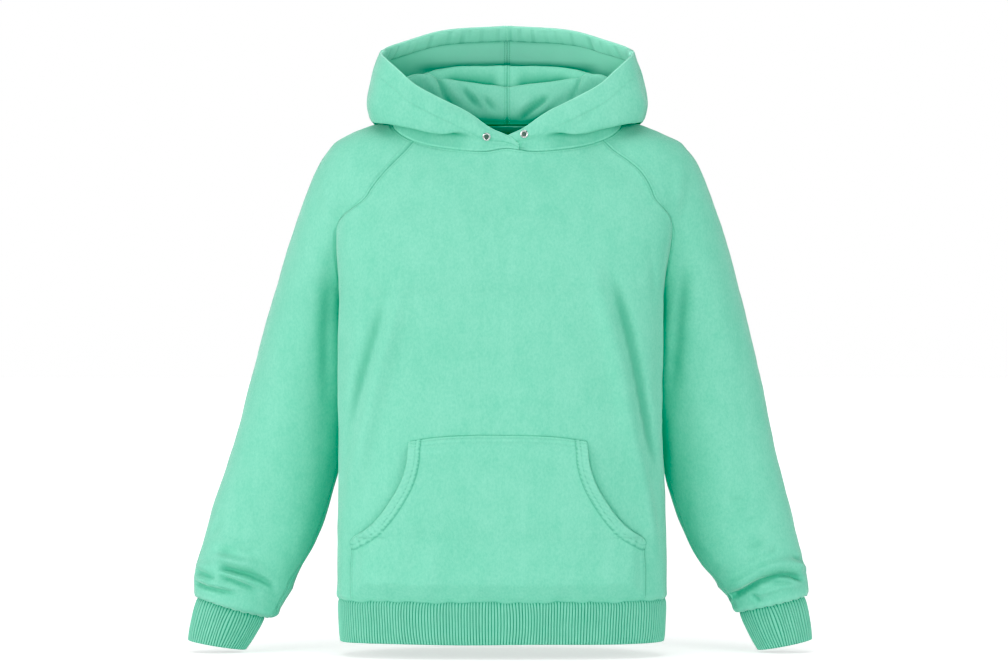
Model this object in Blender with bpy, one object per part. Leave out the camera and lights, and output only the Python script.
"""A pullover hoodie, filled out as if worn: raglan sleeves, ribbed hem and cuffs, a hood that
stands round the neck with its bag hanging behind, and a kangaroo pocket.

Lengths are in millimetres until a mesh is made, which is in metres. +Z is up, the front faces
-Y, +X is the wearer's left. The origin is at the middle of the neck hole, at the height where
the shoulder meets the neck.

The garment has one form, from which every piece takes its points: the trunk and the arms are
tables of ovals cut level at several heights, and the two join softly above the armpit.
"""

import math

import bmesh
import bpy
import numpy as np

METRE = 0.001
WALL = 2.0
RIB_WALL = 2.6
SEAM_GAP = 0.3
LAYER_GAP = 0.6

# Heights of the main seams and of the armpit.
ARMPIT_Z = -219.0
HEM_SEAM_Z = -602.0

# The trunk: an oval at each height. front and back are where the oval ends in Y, widest is the
# Y of its widest line, and square is how boxy each half is (2 is an ellipse).
TRUNK_COLUMNS = ("height", "middle", "half_width", "front", "back", "widest", "front_square", "back_square")
TRUNK = (
    (-700, 0.0, 204, -105, 90, -36, 2.4, 2.1),
    (-660, 0.0, 206, -112, 95, -38, 2.5, 2.1),
    (-590, 0.0, 209, -119, 99, -40, 2.5, 2.1),
    (-450, -1.0, 207, -123, 102, -42, 2.6, 2.1),
    (-330, -3.0, 204, -122, 103, -44, 2.6, 2.1),
    (-212, -1.0, 206, -115, 103, -44, 2.6, 2.1),
    (-135, 3.0, 213, -104, 99, -41, 2.6, 2.2),
    (-84, 6.5, 211, -91, 91, -30, 2.5, 2.2),
    (-46, 7.0, 200, -74, 78, -14, 2.4, 2.2),
    (-24, 6.5, 184, -62, 68, -6, 2.3, 2.2),
    (0, 6.5, 146, -50, 54, 0, 2.3, 2.2),
    (25, 6.5, 132, -44, 48, 0, 2.2, 2.2),
    (60, 6.5, 126, -42, 46, 0, 2.2, 2.2),
)

# An arm: an oval at each height. inner is its inner edge, counted from the trunk's middle, and
# outer its outer edge, counted from the sleeves' own middle, as the sleeves hang a little askew.
ARM_COLUMNS = ("height", "middle", "outer", "inner", "centre_y", "half_depth")
ARM = (
    (-720, -2.0, 405, 298, 0, 40),
    (-660, -2.0, 402, 288, 6, 44),
    (-620, -2.0, 400, 276, 10, 46),
    (-583, -2.0, 396, 266, 15, 47),
    (-532, -1.5, 383, 239, 24, 50),
    (-480, -0.5, 370, 220, 32, 54),
    (-429, 1.5, 355, 207, 38, 58),
    (-377, 3.5, 342, 196, 41, 61),
    (-326, 5.0, 330, 188, 42, 65),
    (-274, 6.0, 317, 186, 40, 69),
    (-222, 6.5, 303, 189, 36, 70),
    (-171, 7.5, 288.5, 166, 30, 70),
    (-120, 8.0, 272, 127, 22, 69),
    (-81, 8.0, 257.5, 110, 14, 68),
    (-56, 8.0, 246.5, 101, 10, 64),
    (-43, 8.0, 239.5, 96, 8, 61),
    (-30, 7.5, 229, 88, 5, 56),
    (-22, 7.5, 222, 82, 4, 51),
    (-12, 7.0, 205, 74, 3, 41),
    (-4, 6.5, 187, 64, 2, 29),
    (4, 6.5, 160, 50, 0, 14),
    (8, 6.5, 130, 40, 0, 6),
)

# How far the trunk and the arms run into each other, by height.
BLEND_COLUMNS = ("height", "softness")
BLEND = ((-700, 1), (-212, 1), (-150, 2), (-128, 8), (-84, 26), (-46, 30), (0, 22), (60, 10))

# The neck seam: an oval from the front, deeper at the front than at the back.
NECK_HALF_WIDTH = 146.0
NECK_FRONT_DROP = 37.0
NECK_BACK_RISE = 4.0
NECK_SQUARE = 2.2
NECK_HITCH = 5.0
NECK_HITCH_WIDTH = 20.0

# Where the raglan seams leave the neck, in degrees round it from the front.
RAGLAN_NECK_FRONT = 55.5
RAGLAN_NECK_BACK = 141.0

# The raglan seams as seen from the front and from behind: x at each height.
RAGLAN_COLUMNS = ("height", "front_x", "back_x")
RAGLAN = (
    (-212, 205, 200),
    (-128, 211, 196),
    (-93, 186, 176),
    (-79, 177, 166),
    (-52, 153, 143),
    (-38, 138, 128),
    (-22, 122, 114),
    (4, 98, 92.5),
)
# Where the seams pass from the open shoulder into the fold between trunk and sleeve.
FOLD_START_Z = -95.0
FOLD_END_Z = -140.0

# The side seam, in degrees round the trunk from its front line.
SIDE_SEAM = 108.0

SLEEVE_TILT = math.radians(14.0)
CUFF_TILT = math.radians(12.5)

# The sleeve's end and the cuff: middle, half sizes and how much the sleeve falls over the cuff.
CUFF_TOP = (347.0, 10.0, -616.0)
CUFF_TOP_HALF = (43.5, 27.0)
CUFF_END = (362.0, 4.0, -665.0)
CUFF_END_HALF = (38.5, 24.0)
CUFF_MIDDLE = -2.0
UNDERARM_TURN = math.radians(14.0)
SHOULDER_DEPTH = 42.0
# How the sleeve falls over its cuff: share of the way in to the cuff, drop, and fullness.
SLEEVE_FALL = ((0.2, 8.0, 4.0), (0.5, 10.0, 7.0), (0.85, 7.0, 4.0))
# Sections of the cuff and the hem: share or height, and how far out or in of the plain form.
CUFF_SECTION = ((0.0, -1.0), (0.2, 1.0), (0.8, 1.2), (1.0, -0.6))
HEM_TUCK = 2.0
HEM_SECTION = ((-602.3, 2.2), (-610, 0.6), (-650, 0.6), (-656.5, 2.0))

# The hood at places round the neck, from its front end to the middle of the back. place is in
# degrees round the neck, facing is the way that "out" points, and each pair of columns after
# it is a point of the hood's section: how far out from the neck seam and how far above it.
HOOD_COLUMNS = ("place", "facing")
HOOD_POINTS = ("stand", "crest", "dip", "roll", "bag_inside", "foot", "belly", "face", "rim")
HOOD = (
    (-6, 0, (0, 0.6), (0, 1), (0, 1.4), (0, 1.8), (0, 2.2), (0, 2.6), (0, 3), (0, 3.4), (0, 4)),
    (0, 0, (0, 2), (0, 4), (1, 6), (1, 7), (2, 8), (2, 10), (2, 11), (2, 13), (1, 16)),
    (5, 10, (0, 4), (0, 6), (1, 9), (1, 11), (2, 13), (3, 15), (3, 18), (3, 21), (1, 25)),
    (15, 38, (0, 6), (1, 10), (1, 14), (2, 17), (4, 20), (6, 24), (7, 30), (6, 37), (2, 45)),
    (30, 52, (1, 7), (2, 11), (3, 15), (5, 18), (8, 20), (10, 23), (13, 33), (12, 48), (7, 62)),
    (45, 62, (1, 8), (2, 13), (4, 17), (7, 20), (10, 20), (13, 23), (17, 34), (16, 54), (10, 74)),
    (60, 72, (1, 9), (3, 16), (5, 20), (9, 21), (12, 19), (16, 20), (22, 32), (19, 58), (10, 85)),
    (75, 81, (1, 14), (2, 26), (5, 30), (10, 25), (13, 18), (20, 12), (28, 23), (24, 58), (13, 90)),
    (90, 91, (0, 18), (1, 36), (5, 42), (12, 33), (16, 16), (23, 5), (31, 18), (26, 57), (16, 89)),
    (110, 112, (0, 26), (1, 52), (7, 56), (14, 46), (18, 20), (25, -2), (38, 14), (37, 58), (17, 100)),
    (130, 137, (2, 33), (5, 65), (13, 58), (22, 56), (31, 12), (41, -24), (60, -4), (58, 54), (21, 111)),
    (150, 158, (5, 31), (13, 60), (23, 48), (34, 72), (43, -8), (58, -57), (84, -32), (80, 50), (24, 122)),
    (180, 180, (5, 25), (13, 49), (25, 28), (36, 78), (45, -24), (66, -84), (97, -52), (94, 50), (28, 131)),
)
OVERLAP_END = -4.4
UNDERLAP_END = -6.0
UNDERLAP_TUCK = 3.9
UNDERLAP_PLACES = (6.0, 17.0)
HOOD_HEM_WIDTH = 23.0
HOOD_HEM_START = 10.0
HOOD_HEM_ROWS = 3

# The pocket: how wide it is to each side of its middle, going down. The hand openings are its
# curved edges, and below them its sides are sewn down.
POCKET_MIDDLE = -5.0
POCKET_COLUMNS = ("height", "half_width")
POCKET = (
    (-397, 111),
    (-406, 111.5),
    (-426, 112.5),
    (-452, 120),
    (-475, 134),
    (-495, 150),
    (-510, 166),
    (-522, 184),
    (-560, 184),
    (-598, 182),
)
POCKET_LIFT = 8.0
POCKET_SLOPE = 22.0
POCKET_GAP = 0.9
POCKET_ACROSS = 13

# The eyelet's turned section, as radius and rise: its outer skin and its hole.
EYELET_OUTSIDE = ((5.2, 0.0), (4.9, 1.0), (4.0, 1.3))
EYELET_INSIDE = ((2.7, 0.0), (2.9, 0.7), (3.2, 1.1))
# Where each side's eyelet is: place round the neck, count of section points above the neck
# seam, and how far it stands off the hood's points.
EYELET_PLACES = {1: (7.0, 7.1, 0.7), -1: (8.3, 5.9, 0.3)}

NECK_TAPE_HEIGHT = 12.0
NECK_TAPE_WALL = 1.0
NECK_TAPE_GAP = 0.5
NECK_TAPE_DROP = 1.5

# How finely the pieces are faceted.
RAGLAN_STEPS = 7
PANEL_COLUMNS = 15
BODY_ROWS = (-252, -297, -345, -395, -445, -495, -545, -588)
ARM_ROWS = (-240, -280, -324, -370, -415, -460, -502, -540, -562, -579)
AROUND_SLEEVE = 13
AROUND_RIB = 38
AROUND_CUFF = 14
HOOD_STEPS = 12
AROUND_EYELET = 10


class Rows:
    """A table read smoothly between its rows, by its first column."""

    def __init__(self, columns, rows):
        table = np.array(rows, dtype=float)
        table = table[np.argsort(table[:, 0])]
        self.key = table[:, 0]
        self.values = table[:, 1:]
        self.slopes = np.gradient(self.values, self.key, axis=0)
        self.columns = columns[1:]

    def read(self, key):
        """The columns at these keys, as one array whose last axis is the column."""
        key = np.clip(np.asarray(key, dtype=float), self.key[0], self.key[-1])
        low = np.clip(np.searchsorted(self.key, key) - 1, 0, len(self.key) - 2)
        step = self.key[low + 1] - self.key[low]
        t = ((key - self.key[low]) / step)[..., None]
        step = step[..., None]
        start, end = self.values[low], self.values[low + 1]
        leave, arrive = self.slopes[low] * step, self.slopes[low + 1] * step
        return (
            start * (1 + 2 * t) * (1 - t) ** 2
            + leave * t * (1 - t) ** 2
            + end * t * t * (3 - 2 * t)
            + arrive * t * t * (t - 1)
        )


trunk_rows = Rows(TRUNK_COLUMNS, TRUNK)
arm_rows = Rows(ARM_COLUMNS, ARM)
blend_rows = Rows(BLEND_COLUMNS, BLEND)
raglan_rows = Rows(RAGLAN_COLUMNS, RAGLAN)


def columns(rows, key):
    """The columns of a table at these keys, one array each."""
    return np.moveaxis(rows.read(key), -1, 0)


def smooth_step(value, start, end):
    t = np.clip((value - start) / (end - start), 0.0, 1.0)
    return t * t * (3 - 2 * t)


def unit(vectors):
    length = np.linalg.norm(vectors, axis=-1, keepdims=True)
    return vectors / np.maximum(length, 1e-9)


# ------------------------------------------------------------------ the form


def oval_gap(x, y, half_width, front, back, front_square, back_square):
    """Roughly how far a point is outside an oval whose widest line is at y 0."""
    depth = np.where(y < 0, front, back)
    square = np.where(y < 0, front_square, back_square)
    size = (np.abs(x / half_width) ** square + np.abs(y / depth) ** square) ** (1 / square)
    reach = np.hypot(x, y)
    return reach - reach / np.maximum(size, 1e-6)


def trunk_gap(points):
    x, y, z = np.moveaxis(points, -1, 0)
    middle, half_width, front, back, widest, front_square, back_square = columns(trunk_rows, z)
    depths = (widest - front, back - widest)
    return oval_gap(x - middle, y - widest, half_width, *depths, front_square, back_square)


def arm_oval(z, side):
    """An arm's oval at these heights: middle x, half width, middle y and half depth."""
    middle, outer, inner, centre_y, half_depth = columns(arm_rows, z)
    outer_x = middle + side * outer
    inner_x = columns(trunk_rows, z)[0] + side * inner
    return (outer_x + inner_x) / 2, np.abs(outer_x - inner_x) / 2, centre_y, half_depth


def arm_gap(points):
    x, y, z = np.moveaxis(points, -1, 0)
    centre_x, half_width, centre_y, half_depth = arm_oval(z, np.where(x < 0, -1, 1))
    return oval_gap(x - centre_x, y - centre_y, half_width, half_depth, half_depth, 2.0, 2.0)


def body_gap(points):
    """The trunk and the arms run together, softly near the shoulders."""
    trunk, arm = trunk_gap(points), arm_gap(points)
    softness = blend_rows.read(points[..., 2])[..., 0]
    mix = np.clip(0.5 + 0.5 * (arm - trunk) / softness, 0.0, 1.0)
    return arm + (trunk - arm) * mix - softness * mix * (1 - mix)


def slope(gap, points):
    """The outward normal of a form at these points."""
    step = 0.05
    sides = []
    for axis in np.eye(3) * step:
        sides.append((gap(points + axis) - gap(points - axis)) / (2 * step))
    return np.stack(sides, axis=-1)


def settle(gap, points):
    """Moves points onto a form, along its slope."""
    for _ in range(6):
        normal = slope(gap, points)
        steep = np.maximum((normal**2).sum(-1, keepdims=True), 0.05)
        move = gap(points)[..., None] * normal / steep
        points = points - np.clip(move, -25.0, 25.0)
    return points


def cast(gap, start, ways, reach=260.0):
    """Where rays leave a form, going out from a point inside it."""
    low = np.zeros(ways.shape[:-1])
    high = np.zeros_like(low)
    found = np.zeros(low.shape, dtype=bool)
    for distance in np.arange(6.0, reach, 6.0):
        outside = gap(start + ways * distance) > 0
        new = outside & ~found
        high[new] = distance
        low[new] = distance - 6.0
        found |= outside
    for _ in range(24):
        middle = (low + high) / 2
        outside = gap(start + ways * middle[..., None]) > 0
        high = np.where(outside, middle, high)
        low = np.where(outside, low, middle)
    return start + ways * high[..., None]


def trunk_point(turn, z):
    """A point of the trunk's oval. turn is 0 at the front line and pi at the back line."""
    turn, z = np.broadcast_arrays(np.asarray(turn, float), np.asarray(z, float))
    middle, half_width, front, back, widest, front_square, back_square = columns(trunk_rows, z)
    square = np.where(np.abs(turn) < math.pi / 2, front_square, back_square)
    depth = np.where(np.abs(turn) < math.pi / 2, front - widest, back - widest)
    x = middle + half_width * np.sign(np.sin(turn)) * np.abs(np.sin(turn)) ** (2 / square)
    y = widest + depth * np.abs(np.cos(turn)) ** (2 / square)
    return np.stack([x, y, z], axis=-1)


def turn_at(x, z, behind):
    """The turn at which the trunk's oval is x wide of its middle."""
    _, half_width, _, _, _, front_square, back_square = columns(trunk_rows, z)
    square = back_square if behind else front_square
    turn = np.arcsin(np.clip(np.abs(x) / half_width, 0, 0.9999) ** (square / 2))
    return math.pi - turn if behind else turn


def hidden_turn(z, behind, side):
    """The turn at which the trunk's oval runs into the arm, in the fold behind its side."""
    turns = np.radians(np.linspace(178, 104, 150) if behind else np.linspace(50, 112, 150))
    gaps = arm_gap(trunk_point(side * turns, np.full_like(turns, z)))
    inside = np.nonzero(gaps < 0)[0]
    armpit = math.radians(SIDE_SEAM)
    if not len(inside) or inside[0] == 0:
        return armpit
    place = inside[0]
    share = gaps[place - 1] / (gaps[place - 1] - gaps[place])
    return turns[place - 1] + share * (turns[place] - turns[place - 1])


def raglan_turn(z, behind, side):
    """The turn of a raglan seam at a height, counted towards its own side: drawn by its table
    where it shows, and then in the fold between trunk and sleeve, down to the armpit."""
    drawn = float(turn_at(raglan_rows.read(z)[1 if behind else 0], z, behind))
    if z > FOLD_START_Z:
        return drawn
    return drawn + (hidden_turn(z, behind, side) - drawn) * float(in_fold(z))


def in_fold(z):
    """0 where the seams lie on the open shoulder, 1 where they lie in the fold."""
    return smooth_step(z, FOLD_START_Z, FOLD_END_Z)


def settle_on(own_gap, points):
    """Moves points onto the body, and in the fold onto a piece's own form, trunk or arm."""
    own = in_fold(points[..., 2:3])
    return settle(body_gap, points) * (1 - own) + settle(own_gap, points) * own


def normals_on(own_gap, points):
    """Outward normals of the body, and in the fold those of a piece's own form."""
    own = in_fold(points[..., 2:3])
    return unit(slope(body_gap, points) * (1 - own) + slope(own_gap, points) * own)


# ---------------------------------------------------------------- the neck seam


def neck_place(place):
    """x from the middle and the height of the neck seam, place degrees round from the front."""
    angle = np.radians(place)
    power = 2 / NECK_SQUARE
    side, ahead = np.sin(angle), np.cos(angle)
    x = NECK_HALF_WIDTH * np.sign(side) * np.abs(side) ** power
    rise = np.where(ahead > 0, -NECK_FRONT_DROP, NECK_BACK_RISE) * np.abs(ahead) ** power
    hitch = np.where(ahead > 0, NECK_HITCH * np.exp(-((x / NECK_HITCH_WIDTH) ** 2)), 0.0)
    return x, rise + hitch


def neck_point(place):
    """Points of the neck seam, on the form."""
    place = np.atleast_1d(np.asarray(place, dtype=float))
    x, z = neck_place(place)
    behind = np.abs(place) > 90
    turn = np.where(behind, turn_at(x, z, True), turn_at(x, z, False)) * np.where(x < 0, -1, 1)
    return settle(body_gap, trunk_point(turn, z))


def spread(points, count):
    """Points at even distances along a line of points."""
    steps = np.linalg.norm(np.diff(points, axis=0), axis=1)
    along = np.concatenate([[0.0], np.cumsum(steps)])
    even = np.linspace(0.0, along[-1], count)
    return np.stack([np.interp(even, along, points[:, axis]) for axis in range(3)], axis=-1)


def even_places(start, end, count):
    """Places round the neck seam at even distances between two places."""
    places = np.linspace(start, end, 161)
    steps = np.linalg.norm(np.diff(neck_point(places), axis=0), axis=1)
    along = np.concatenate([[0.0], np.cumsum(steps)])
    return np.interp(np.linspace(0.0, along[-1], count), along, places)


# ---------------------------------------------------------------- solids

# Each look: name, colour, roughness, metal.
FLEECE = ("fleece", (0.20, 0.72, 0.51), 0.95, 0.0)
RIB_KNIT = ("rib_knit", (0.15, 0.62, 0.42), 0.95, 0.0)
NICKEL = ("nickel", (0.75, 0.76, 0.76), 0.25, 1.0)
COTTON_TAPE = ("cotton_tape", (0.30, 0.62, 0.50), 0.9, 0.0)


def material_of(look):
    name, colour, roughness, metal = look
    material = bpy.data.materials.get(name)
    if material is None:
        material = bpy.data.materials.new(name)
        material.use_nodes = True
        shader = material.node_tree.nodes["Principled BSDF"]
        shader.inputs["Base Color"].default_value = (*colour, 1.0)
        shader.inputs["Roughness"].default_value = roughness
        shader.inputs["Metallic"].default_value = metal
    return material


def solid(name, outer, inner, look, closed=False):
    """One closed wall between an outer and an inner grid of points. closed joins the last
    column to the first."""
    rows, across = outer.shape[:2]
    shell = bmesh.new()
    out, back = (
        [[shell.verts.new(point * METRE) for point in row] for row in grid] for grid in (outer, inner)
    )
    spans = [(i, (i + 1) % across) for i in range(across if closed else across - 1)]
    for j in range(rows - 1):
        for i, k in spans:
            # Both skins are split along the same diagonal, so that they keep their distance.
            falling = np.linalg.norm(outer[j, i] - outer[j + 1, k])
            rising = np.linalg.norm(outer[j + 1, i] - outer[j, k])
            corners = [(j, i), (j + 1, i), (j + 1, k), (j, k)]
            if rising < falling:
                corners = corners[1:] + corners[:1]
            for picked in (corners[:3], [corners[0], *corners[2:]]):
                shell.faces.new([out[row][column] for row, column in picked])
                shell.faces.new([back[row][column] for row, column in reversed(picked)])
    for i, k in spans:
        shell.faces.new((out[0][i], out[0][k], back[0][k], back[0][i]))
        shell.faces.new((out[-1][k], out[-1][i], back[-1][i], back[-1][k]))
    if not closed:
        for j in range(rows - 1):
            shell.faces.new((out[j + 1][0], out[j][0], back[j][0], back[j + 1][0]))
            shell.faces.new((out[j][-1], out[j + 1][-1], back[j + 1][-1], back[j][-1]))
    if shell.calc_volume(signed=True) < 0:
        bmesh.ops.reverse_faces(shell, faces=shell.faces)
    mesh = bpy.data.meshes.new(name)
    shell.to_mesh(mesh)
    shell.free()
    mesh.shade_smooth()
    mesh.set_sharp_from_angle(angle=math.radians(50))
    mesh.materials.append(material_of(look))
    piece = bpy.data.objects.new(name, mesh)
    bpy.context.scene.collection.objects.link(piece)
    return piece


def trimmed(grid, first=0.0, last=0.0, sides=0.0):
    """A grid with its edges pulled in by these distances."""
    grid = grid.copy()
    grid[0] += unit(grid[1] - grid[0]) * first
    grid[-1] += unit(grid[-2] - grid[-1]) * last
    grid[:, 0] += unit(grid[:, 1] - grid[:, 0]) * sides
    grid[:, -1] += unit(grid[:, -2] - grid[:, -1]) * sides
    return grid


def grid_normals(grid):
    """Normals of a grid from its own points, to the left of its columns going down."""
    down = np.gradient(grid, axis=0)
    across = np.gradient(grid, axis=1)
    return unit(np.cross(across, down))


# ------------------------------------------------------------ front and back


def raglan_heights(behind):
    """Heights of the seam's points, from the neck to the armpit."""
    neck = RAGLAN_NECK_BACK if behind else RAGLAN_NECK_FRONT
    return np.linspace(float(neck_place(neck)[1]), ARMPIT_Z, RAGLAN_STEPS + 1)


def raglan_point(step, behind, side):
    """The seam's point, shared by a panel and a sleeve. side is 1 on the wearer's left."""
    if step == 0:
        neck = RAGLAN_NECK_BACK if behind else RAGLAN_NECK_FRONT
        return neck_point(side * neck)[0]
    z = raglan_heights(behind)[step]
    turn = side * raglan_turn(z, behind, side)
    if step == RAGLAN_STEPS:
        return trunk_point(side * math.radians(SIDE_SEAM), z)
    return settle_on(trunk_gap, trunk_point(turn, z))


def panel_row(step, behind):
    """A row of a panel above the armpit, from the wearer's right to the left. It follows the
    neckline near the neck and is level at the armpit."""
    heights = raglan_heights(behind)
    centre = 180.0 if behind else 0.0
    neck = RAGLAN_NECK_BACK if behind else RAGLAN_NECK_FRONT
    half = abs(centre - neck)
    if step == 0:
        places = even_places(centre - half, centre + half, PANEL_COLUMNS)
        row = neck_point(np.where(places > 180, places - 360, places))
        return row[::-1] if behind else row
    near_neck = (1 - step / RAGLAN_STEPS) ** 2
    share = np.linspace(-1.0, 1.0, 121)
    neck_x, neck_z = neck_place(centre + share * half)
    z = heights[step] + (neck_z - heights[0]) * near_neck
    edges = [raglan_turn(heights[step], behind, side) for side in (-1, 1)]
    edge = np.where(share < 0, *edges)
    level = centre and math.pi
    neck_turn = np.array([float(turn_at(x, rise, behind)) for x, rise in zip(neck_x, neck_z)])
    neck_turn = np.abs(neck_turn - level) / abs(neck_turn[0] - level)
    reach = near_neck * neck_turn + (1 - near_neck) * np.abs(share)
    turn = (level + (edge - level) * reach) * np.where(share < 0, -1, 1)
    row = settle_on(trunk_gap, trunk_point(turn, z))
    row[0] = raglan_point(step, behind, -1)
    row[-1] = raglan_point(step, behind, 1)
    return spread(row, PANEL_COLUMNS)


def level_row(z, behind):
    """A level row of a panel below the armpit."""
    edge = math.radians(SIDE_SEAM)
    level = math.pi if behind else 0.0
    share = np.linspace(-1.0, 1.0, 181)
    turn = (level + (edge - level) * np.abs(share)) * np.where(share < 0, -1, 1)
    return spread(trunk_point(turn, z), PANEL_COLUMNS)


def panel(name, behind):
    rows = [panel_row(step, behind) for step in range(RAGLAN_STEPS)]
    rows += [level_row(z, behind) for z in (ARMPIT_Z, *BODY_ROWS, HEM_SEAM_Z)]
    grid = np.array(rows)
    normal = normals_on(trunk_gap, grid)
    grid = trimmed(grid, SEAM_GAP / 2, SEAM_GAP / 2, SEAM_GAP / 2)
    grid[-1] -= normal[-1] * HEM_TUCK
    return solid(name, grid, grid - normal * WALL, FLEECE)


# ------------------------------------------------------------------- sleeves


def shoulder_line(side):
    """Points along the top of the shoulder, one for each step of the raglan seams."""
    heights = np.array([-4, -8, -12, -22, -30, -43, -56, -81, -110, -140, -171, -184.0])
    centre_x, half_width, centre_y, _ = arm_oval(heights, side)
    line = np.stack([centre_x + side * half_width, centre_y, heights], axis=-1)
    line = np.concatenate([neck_point(side * 90.0), settle(body_gap, line)])
    return spread(line, RAGLAN_STEPS + 1)


def fan(centre, out, front_end, back_end):
    """A ring of the sleeve, from the front seam over the outside to the back seam."""
    own = float(in_fold((front_end[2] + back_end[2]) / 2))

    def sleeve_gap(points):
        return body_gap(points) * (1 - own) + arm_gap(points) * own

    out = unit(out - centre)
    front = unit(front_end - back_end + np.array([0.0, -6.0, 0.0]))
    front = unit(front - out * np.dot(front, out))
    across = np.cross(out, front)
    ends = []
    for end in (front_end - centre, back_end - centre):
        flat = math.hypot(np.dot(end, out), np.dot(end, front))
        ends.append((math.atan2(np.dot(end, front), np.dot(end, out)), np.dot(end, across) / flat))
    (front_angle, front_lift), (back_angle, back_lift) = ends
    if front_angle < 0:
        front_angle += 2 * math.pi
    if back_angle > 0:
        back_angle -= 2 * math.pi
    angle = np.linspace(front_angle, back_angle, 91)
    lift = np.where(
        angle > 0, front_lift * (angle / front_angle) ** 2, back_lift * (angle / back_angle) ** 2
    )[:, None]
    ways = np.cos(angle)[:, None] * out + np.sin(angle)[:, None] * front + lift * across
    ring = cast(sleeve_gap, centre, unit(ways))
    ring[0], ring[-1] = front_end, back_end
    return ring


def arm_ring(z, side):
    """A ring of the sleeve below the armpit, square to the arm."""
    centre_x, _, centre_y, _ = arm_oval(z, side)
    centre = np.array([centre_x, centre_y, z])
    out = np.array([side * math.cos(SLEEVE_TILT), 0.0, math.sin(SLEEVE_TILT)])
    start = math.pi - UNDERARM_TURN * float(smooth_step(z, ARMPIT_Z, ARMPIT_Z - 160))
    angle = np.linspace(start, start - 2 * math.pi, 121)[:, None]
    ways = np.cos(angle) * out + np.sin(angle) * np.array([0.0, -1.0, 0.0])
    return cast(arm_gap, centre, ways)


def cuff_ring(share, side, spare=0.0, count=121):
    """A ring of the cuff's outside, from its seam (share 0) to its end (share 1)."""
    top, end = np.array(CUFF_TOP), np.array(CUFF_END)
    centre = top + (end - top) * share
    centre[0] = side * centre[0] + CUFF_MIDDLE
    half = np.array(CUFF_TOP_HALF) + (np.array(CUFF_END_HALF) - np.array(CUFF_TOP_HALF)) * share + spare
    out = np.array([side * math.cos(CUFF_TILT), 0.0, math.sin(CUFF_TILT)])
    start = math.pi - UNDERARM_TURN
    angle = np.linspace(start, start - 2 * math.pi, count)[:, None]
    return centre + np.cos(angle) * out * half[0] + np.sin(angle) * np.array([0.0, -half[1], 0.0])


def sleeve(name, side):
    shoulder = shoulder_line(side)
    neck = neck_point(side * even_places(RAGLAN_NECK_FRONT, RAGLAN_NECK_BACK, AROUND_SLEEVE))
    rings = []
    for step in range(RAGLAN_STEPS + 1):
        ends = [raglan_point(step, behind, side) for behind in (False, True)]
        centre = (ends[0] + ends[1]) / 4 + shoulder[step] / 2
        centre[2] -= SHOULDER_DEPTH * (1 - step / RAGLAN_STEPS)
        ring = spread(fan(centre, shoulder[step], *ends), AROUND_SLEEVE)
        if step == 0:
            pull = neck - ring
        near_neck = max(0.0, 1 - step / 3) ** 2
        inside = settle_on(arm_gap, ring + pull * near_neck)
        ring[1:-1] = inside[1:-1]
        rings.append(neck if step == 0 else ring)
    for z in ARM_ROWS:
        rings.append(spread(arm_ring(z, side), AROUND_SLEEVE))
    cuff = spread(cuff_ring(0.0, side, 0.6), AROUND_SLEEVE)
    last = spread(arm_ring(ARM_ROWS[-1], side), AROUND_SLEEVE)
    for share, drop, fullness in SLEEVE_FALL:
        ring = last + (cuff - last) * share
        ring += unit(ring - ring.mean(axis=0)) * fullness
        ring[:, 2] -= drop
        rings.append(ring)
    rings.append(cuff)
    grid = np.array(rings)
    normal = grid_normals(grid) * -side
    above = np.arange(len(grid)) <= RAGLAN_STEPS
    normal[above] = normals_on(arm_gap, grid[above])
    grid = trimmed(grid, SEAM_GAP / 2, SEAM_GAP / 2, SEAM_GAP)
    return solid(name, grid, grid - normal * WALL, FLEECE)


def cuff(name, side):
    rings = [cuff_ring(share, side, spare, AROUND_CUFF + 1)[:-1] for share, spare in CUFF_SECTION]
    grid = np.array(rings)
    grid[0] += unit(grid[1] - grid[0]) * SEAM_GAP
    around = np.concatenate([grid[:, -1:], grid, grid[:, :1]], axis=1)
    normal = grid_normals(around)[:, 1:-1] * -side
    return solid(name, grid, grid - normal * RIB_WALL, RIB_KNIT, closed=True)


def hem_rib(name):
    share = np.linspace(0, 2 * math.pi, 361)
    turn = np.where(share > math.pi, share - 2 * math.pi, share)
    rings = []
    for z, inset in HEM_SECTION:
        ring = trunk_point(turn, z)
        ring -= unit(slope(trunk_gap, ring)) * inset
        rings.append(spread(ring, AROUND_RIB + 1)[:-1])
    grid = np.array(rings)
    return solid(name, grid, grid - unit(slope(trunk_gap, grid)) * RIB_WALL, RIB_KNIT, closed=True)


# -------------------------------------------------------------------- hood

hood_rows = Rows(
    (*HOOD_COLUMNS, *HOOD_POINTS),
    [(place, facing, *np.ravel(points)) for place, facing, *points in HOOD],
)


def hood_section(place, side):
    """The hood's section at a place, as its seam point and the points of the table. The
    wearer's left front end is tucked behind the right one."""
    facing, *numbers = hood_rows.read(place)
    out, up = np.array(numbers).reshape(-1, 2).T
    if side > 0:
        out = out - UNDERLAP_TUCK * float(smooth_step(place, *UNDERLAP_PLACES[::-1]))
    facing = math.radians(facing)
    way = np.array([side * math.sin(facing), -math.cos(facing), 0.0])
    seam = neck_point(side * place)[0]
    start = seam + np.array([0.0, 0.0, SEAM_GAP])
    if side > 0:
        start = start - way * UNDERLAP_TUCK * float(smooth_step(place, *UNDERLAP_PLACES[::-1]))
    points = seam + out[:, None] * way + up[:, None] * np.array([0.0, 0.0, 1.0])
    return np.concatenate([[start], points])


def along_section(points, shares):
    """Points at shares of the count of a section's points, on a smooth line through them."""
    chords = np.linalg.norm(np.diff(points, axis=0), axis=1)
    key = np.concatenate([[0.0], np.cumsum(chords)])
    line = Rows(("length", "x", "y", "z"), np.column_stack([key, points]))
    return line.read(np.interp(shares, np.arange(len(points)), key))


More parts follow.
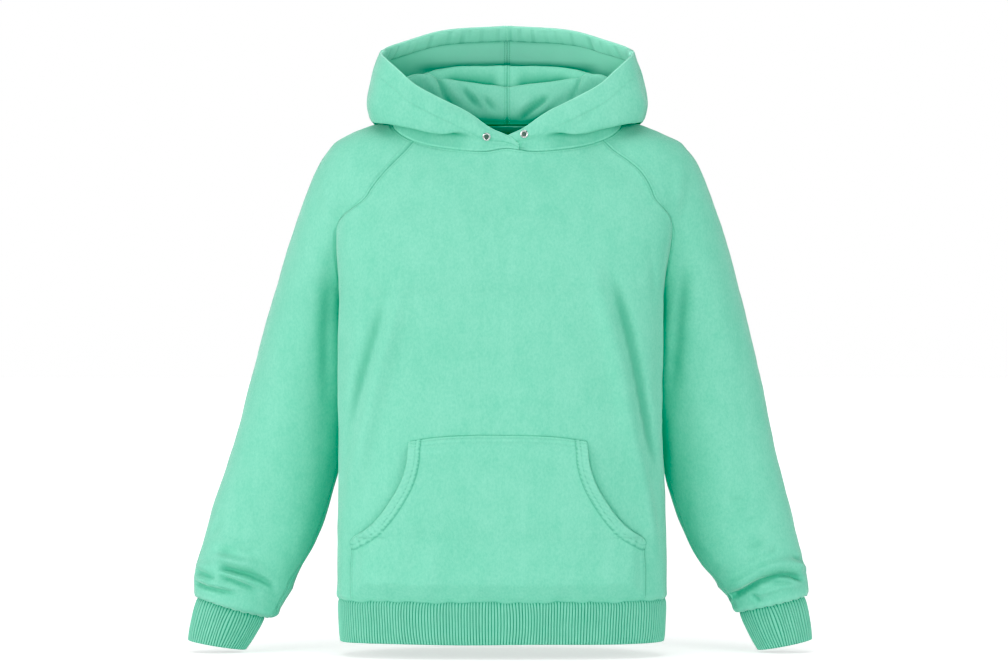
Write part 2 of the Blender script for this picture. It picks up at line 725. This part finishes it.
def hood_places(side):
    """Places of the hood's sections: those of the panel and sleeve points below it."""
    front = even_places(-RAGLAN_NECK_FRONT, RAGLAN_NECK_FRONT, PANEL_COLUMNS)
    top = even_places(RAGLAN_NECK_FRONT, RAGLAN_NECK_BACK, AROUND_SLEEVE)
    back = even_places(RAGLAN_NECK_BACK, 360 - RAGLAN_NECK_BACK, PANEL_COLUMNS)
    end = UNDERLAP_END if side > 0 else OVERLAP_END
    places = [end, *front[front > end + 1.0], *top[1:], *back[(back > back[0] + 1) & (back < 179)]]
    return np.array([*places, 180.0])


def hood_grid(side, shares, places):
    """Rows go from the neck seam to the rim, columns from the front end to the back."""
    sections = [along_section(hood_section(place, side), shares) for place in places]
    return np.array(sections).swapaxes(0, 1)


def hood_panel(name, side):
    grid = hood_grid(side, np.linspace(0, len(HOOD_POINTS), HOOD_STEPS + 1), hood_places(side))
    normal = grid_normals(grid) * side
    normal[:, -1, 0] = 0.0
    normal = unit(normal)
    grid[:, -1, 0] += side * SEAM_GAP / 2
    return solid(name, grid, grid - normal * WALL, FLEECE)


def hood_hem(name, side):
    """The turned hem of the hood's rim, on the inside of the hood."""
    places = hood_places(side)
    places = places[places > HOOD_HEM_START]
    fine = hood_grid(side, np.linspace(0, len(HOOD_POINTS), 181), places)
    normal = grid_normals(fine) * side
    rows, inward = [], []
    for j in range(len(places)):
        back = fine[::-1, j]
        steps = np.concatenate([[0.0], np.cumsum(np.linalg.norm(np.diff(back, axis=0), axis=1))])
        width = min(HOOD_HEM_WIDTH, 0.7 * steps[-1])
        at = np.interp(np.linspace(0.0, width, HOOD_HEM_ROWS), steps, np.arange(len(steps)))
        pick = len(steps) - 1 - np.round(at).astype(int)
        rows.append(fine[pick, j])
        inward.append(normal[pick, j])
    grid, inward = np.array(rows).swapaxes(0, 1), -np.array(inward).swapaxes(0, 1)
    inward[:, -1, 0] = 0.0
    inward = unit(inward)
    grid[:, -1, 0] += side * SEAM_GAP / 2
    near = grid + inward * (WALL + LAYER_GAP)
    return solid(name, near, near + inward * WALL, FLEECE)


def eyelet(name, side):
    """A turned ring on the front end of the hood."""
    place, height, gap = EYELET_PLACES[side]
    around = hood_grid(side, np.array([height - 1, height, height + 1]), (place - 1.5, place, place + 1.5))
    along = unit(around[2, 1] - around[0, 1])
    normal = unit(np.cross(around[1, 2] - around[1, 0], along)) * side
    across = np.cross(normal, along)
    turn = np.linspace(0, 2 * math.pi, AROUND_EYELET + 1)[:-1, None]
    circle = np.cos(turn) * along + np.sin(turn) * across
    floor = around[1, 1] + normal * gap
    skins = []
    for section in (EYELET_OUTSIDE, EYELET_INSIDE):
        skins.append(np.array([floor + circle * radius + normal * rise for radius, rise in section]))
    return solid(name, *skins, NICKEL, closed=True)


# ----------------------------------------------------------- pocket and tape


def pocket(name):
    rows = Rows(POCKET_COLUMNS, POCKET)
    heights = np.array([row[0] for row in POCKET])
    across = np.linspace(-1.0, 1.0, POCKET_ACROSS)
    half = rows.read(heights)[:, 0]
    x = POCKET_MIDDLE + half[:, None] * across
    z = np.broadcast_to(heights[:, None], x.shape).astype(float)
    middle = trunk_rows.read(z)[..., 0]
    turn = turn_at(x - middle, z, False) * np.where(x < middle, -1, 1)
    skin = trunk_point(turn, z)
    normal = unit(slope(trunk_gap, skin))
    side = POCKET[-3][1] - np.abs(x - POCKET_MIDDLE)
    from_edges = np.minimum(np.minimum(heights[0] - z, z - heights[-1]), side)
    lift = smooth_step(from_edges, 0, POCKET_SLOPE)
    inner = skin + normal * (POCKET_GAP + POCKET_LIFT * lift[..., None])
    return solid(name, inner + normal * WALL, inner, FLEECE)


def neck_tape(name):
    """A plain tape over the back neck seam's allowance, inside the back panel."""
    places = even_places(RAGLAN_NECK_BACK, 360 - RAGLAN_NECK_BACK, PANEL_COLUMNS)[1:-1]
    top = neck_point(np.where(places > 180, places - 360, places))
    rows = []
    for share in (0.0, 0.5, 1.0):
        drop = NECK_TAPE_DROP + NECK_TAPE_HEIGHT * share
        rows.append(settle(body_gap, top - np.array([0.0, 0.0, drop])))
    grid = np.array(rows)
    inward = -unit(slope(body_gap, grid))
    near = grid + inward * (WALL + NECK_TAPE_GAP)
    return solid(name, near, near + inward * NECK_TAPE_WALL, COTTON_TAPE)


# ------------------------------------------------------------------ the build


def clear_scene():
    for item in list(bpy.data.objects):
        bpy.data.objects.remove(item, do_unlink=True)


clear_scene()
panel("front_body", behind=False)
panel("back_body", behind=True)
hem_rib("hem_rib")
for side, label in ((1, "left"), (-1, "right")):
    sleeve(f"sleeve_{label}", side)
    cuff(f"cuff_{label}", side)
    hood_panel(f"hood_{label}", side)
    hood_hem(f"hood_hem_{label}", side)
    eyelet(f"eyelet_{label}", side)
pocket("pocket")
neck_tape("neck_tape")
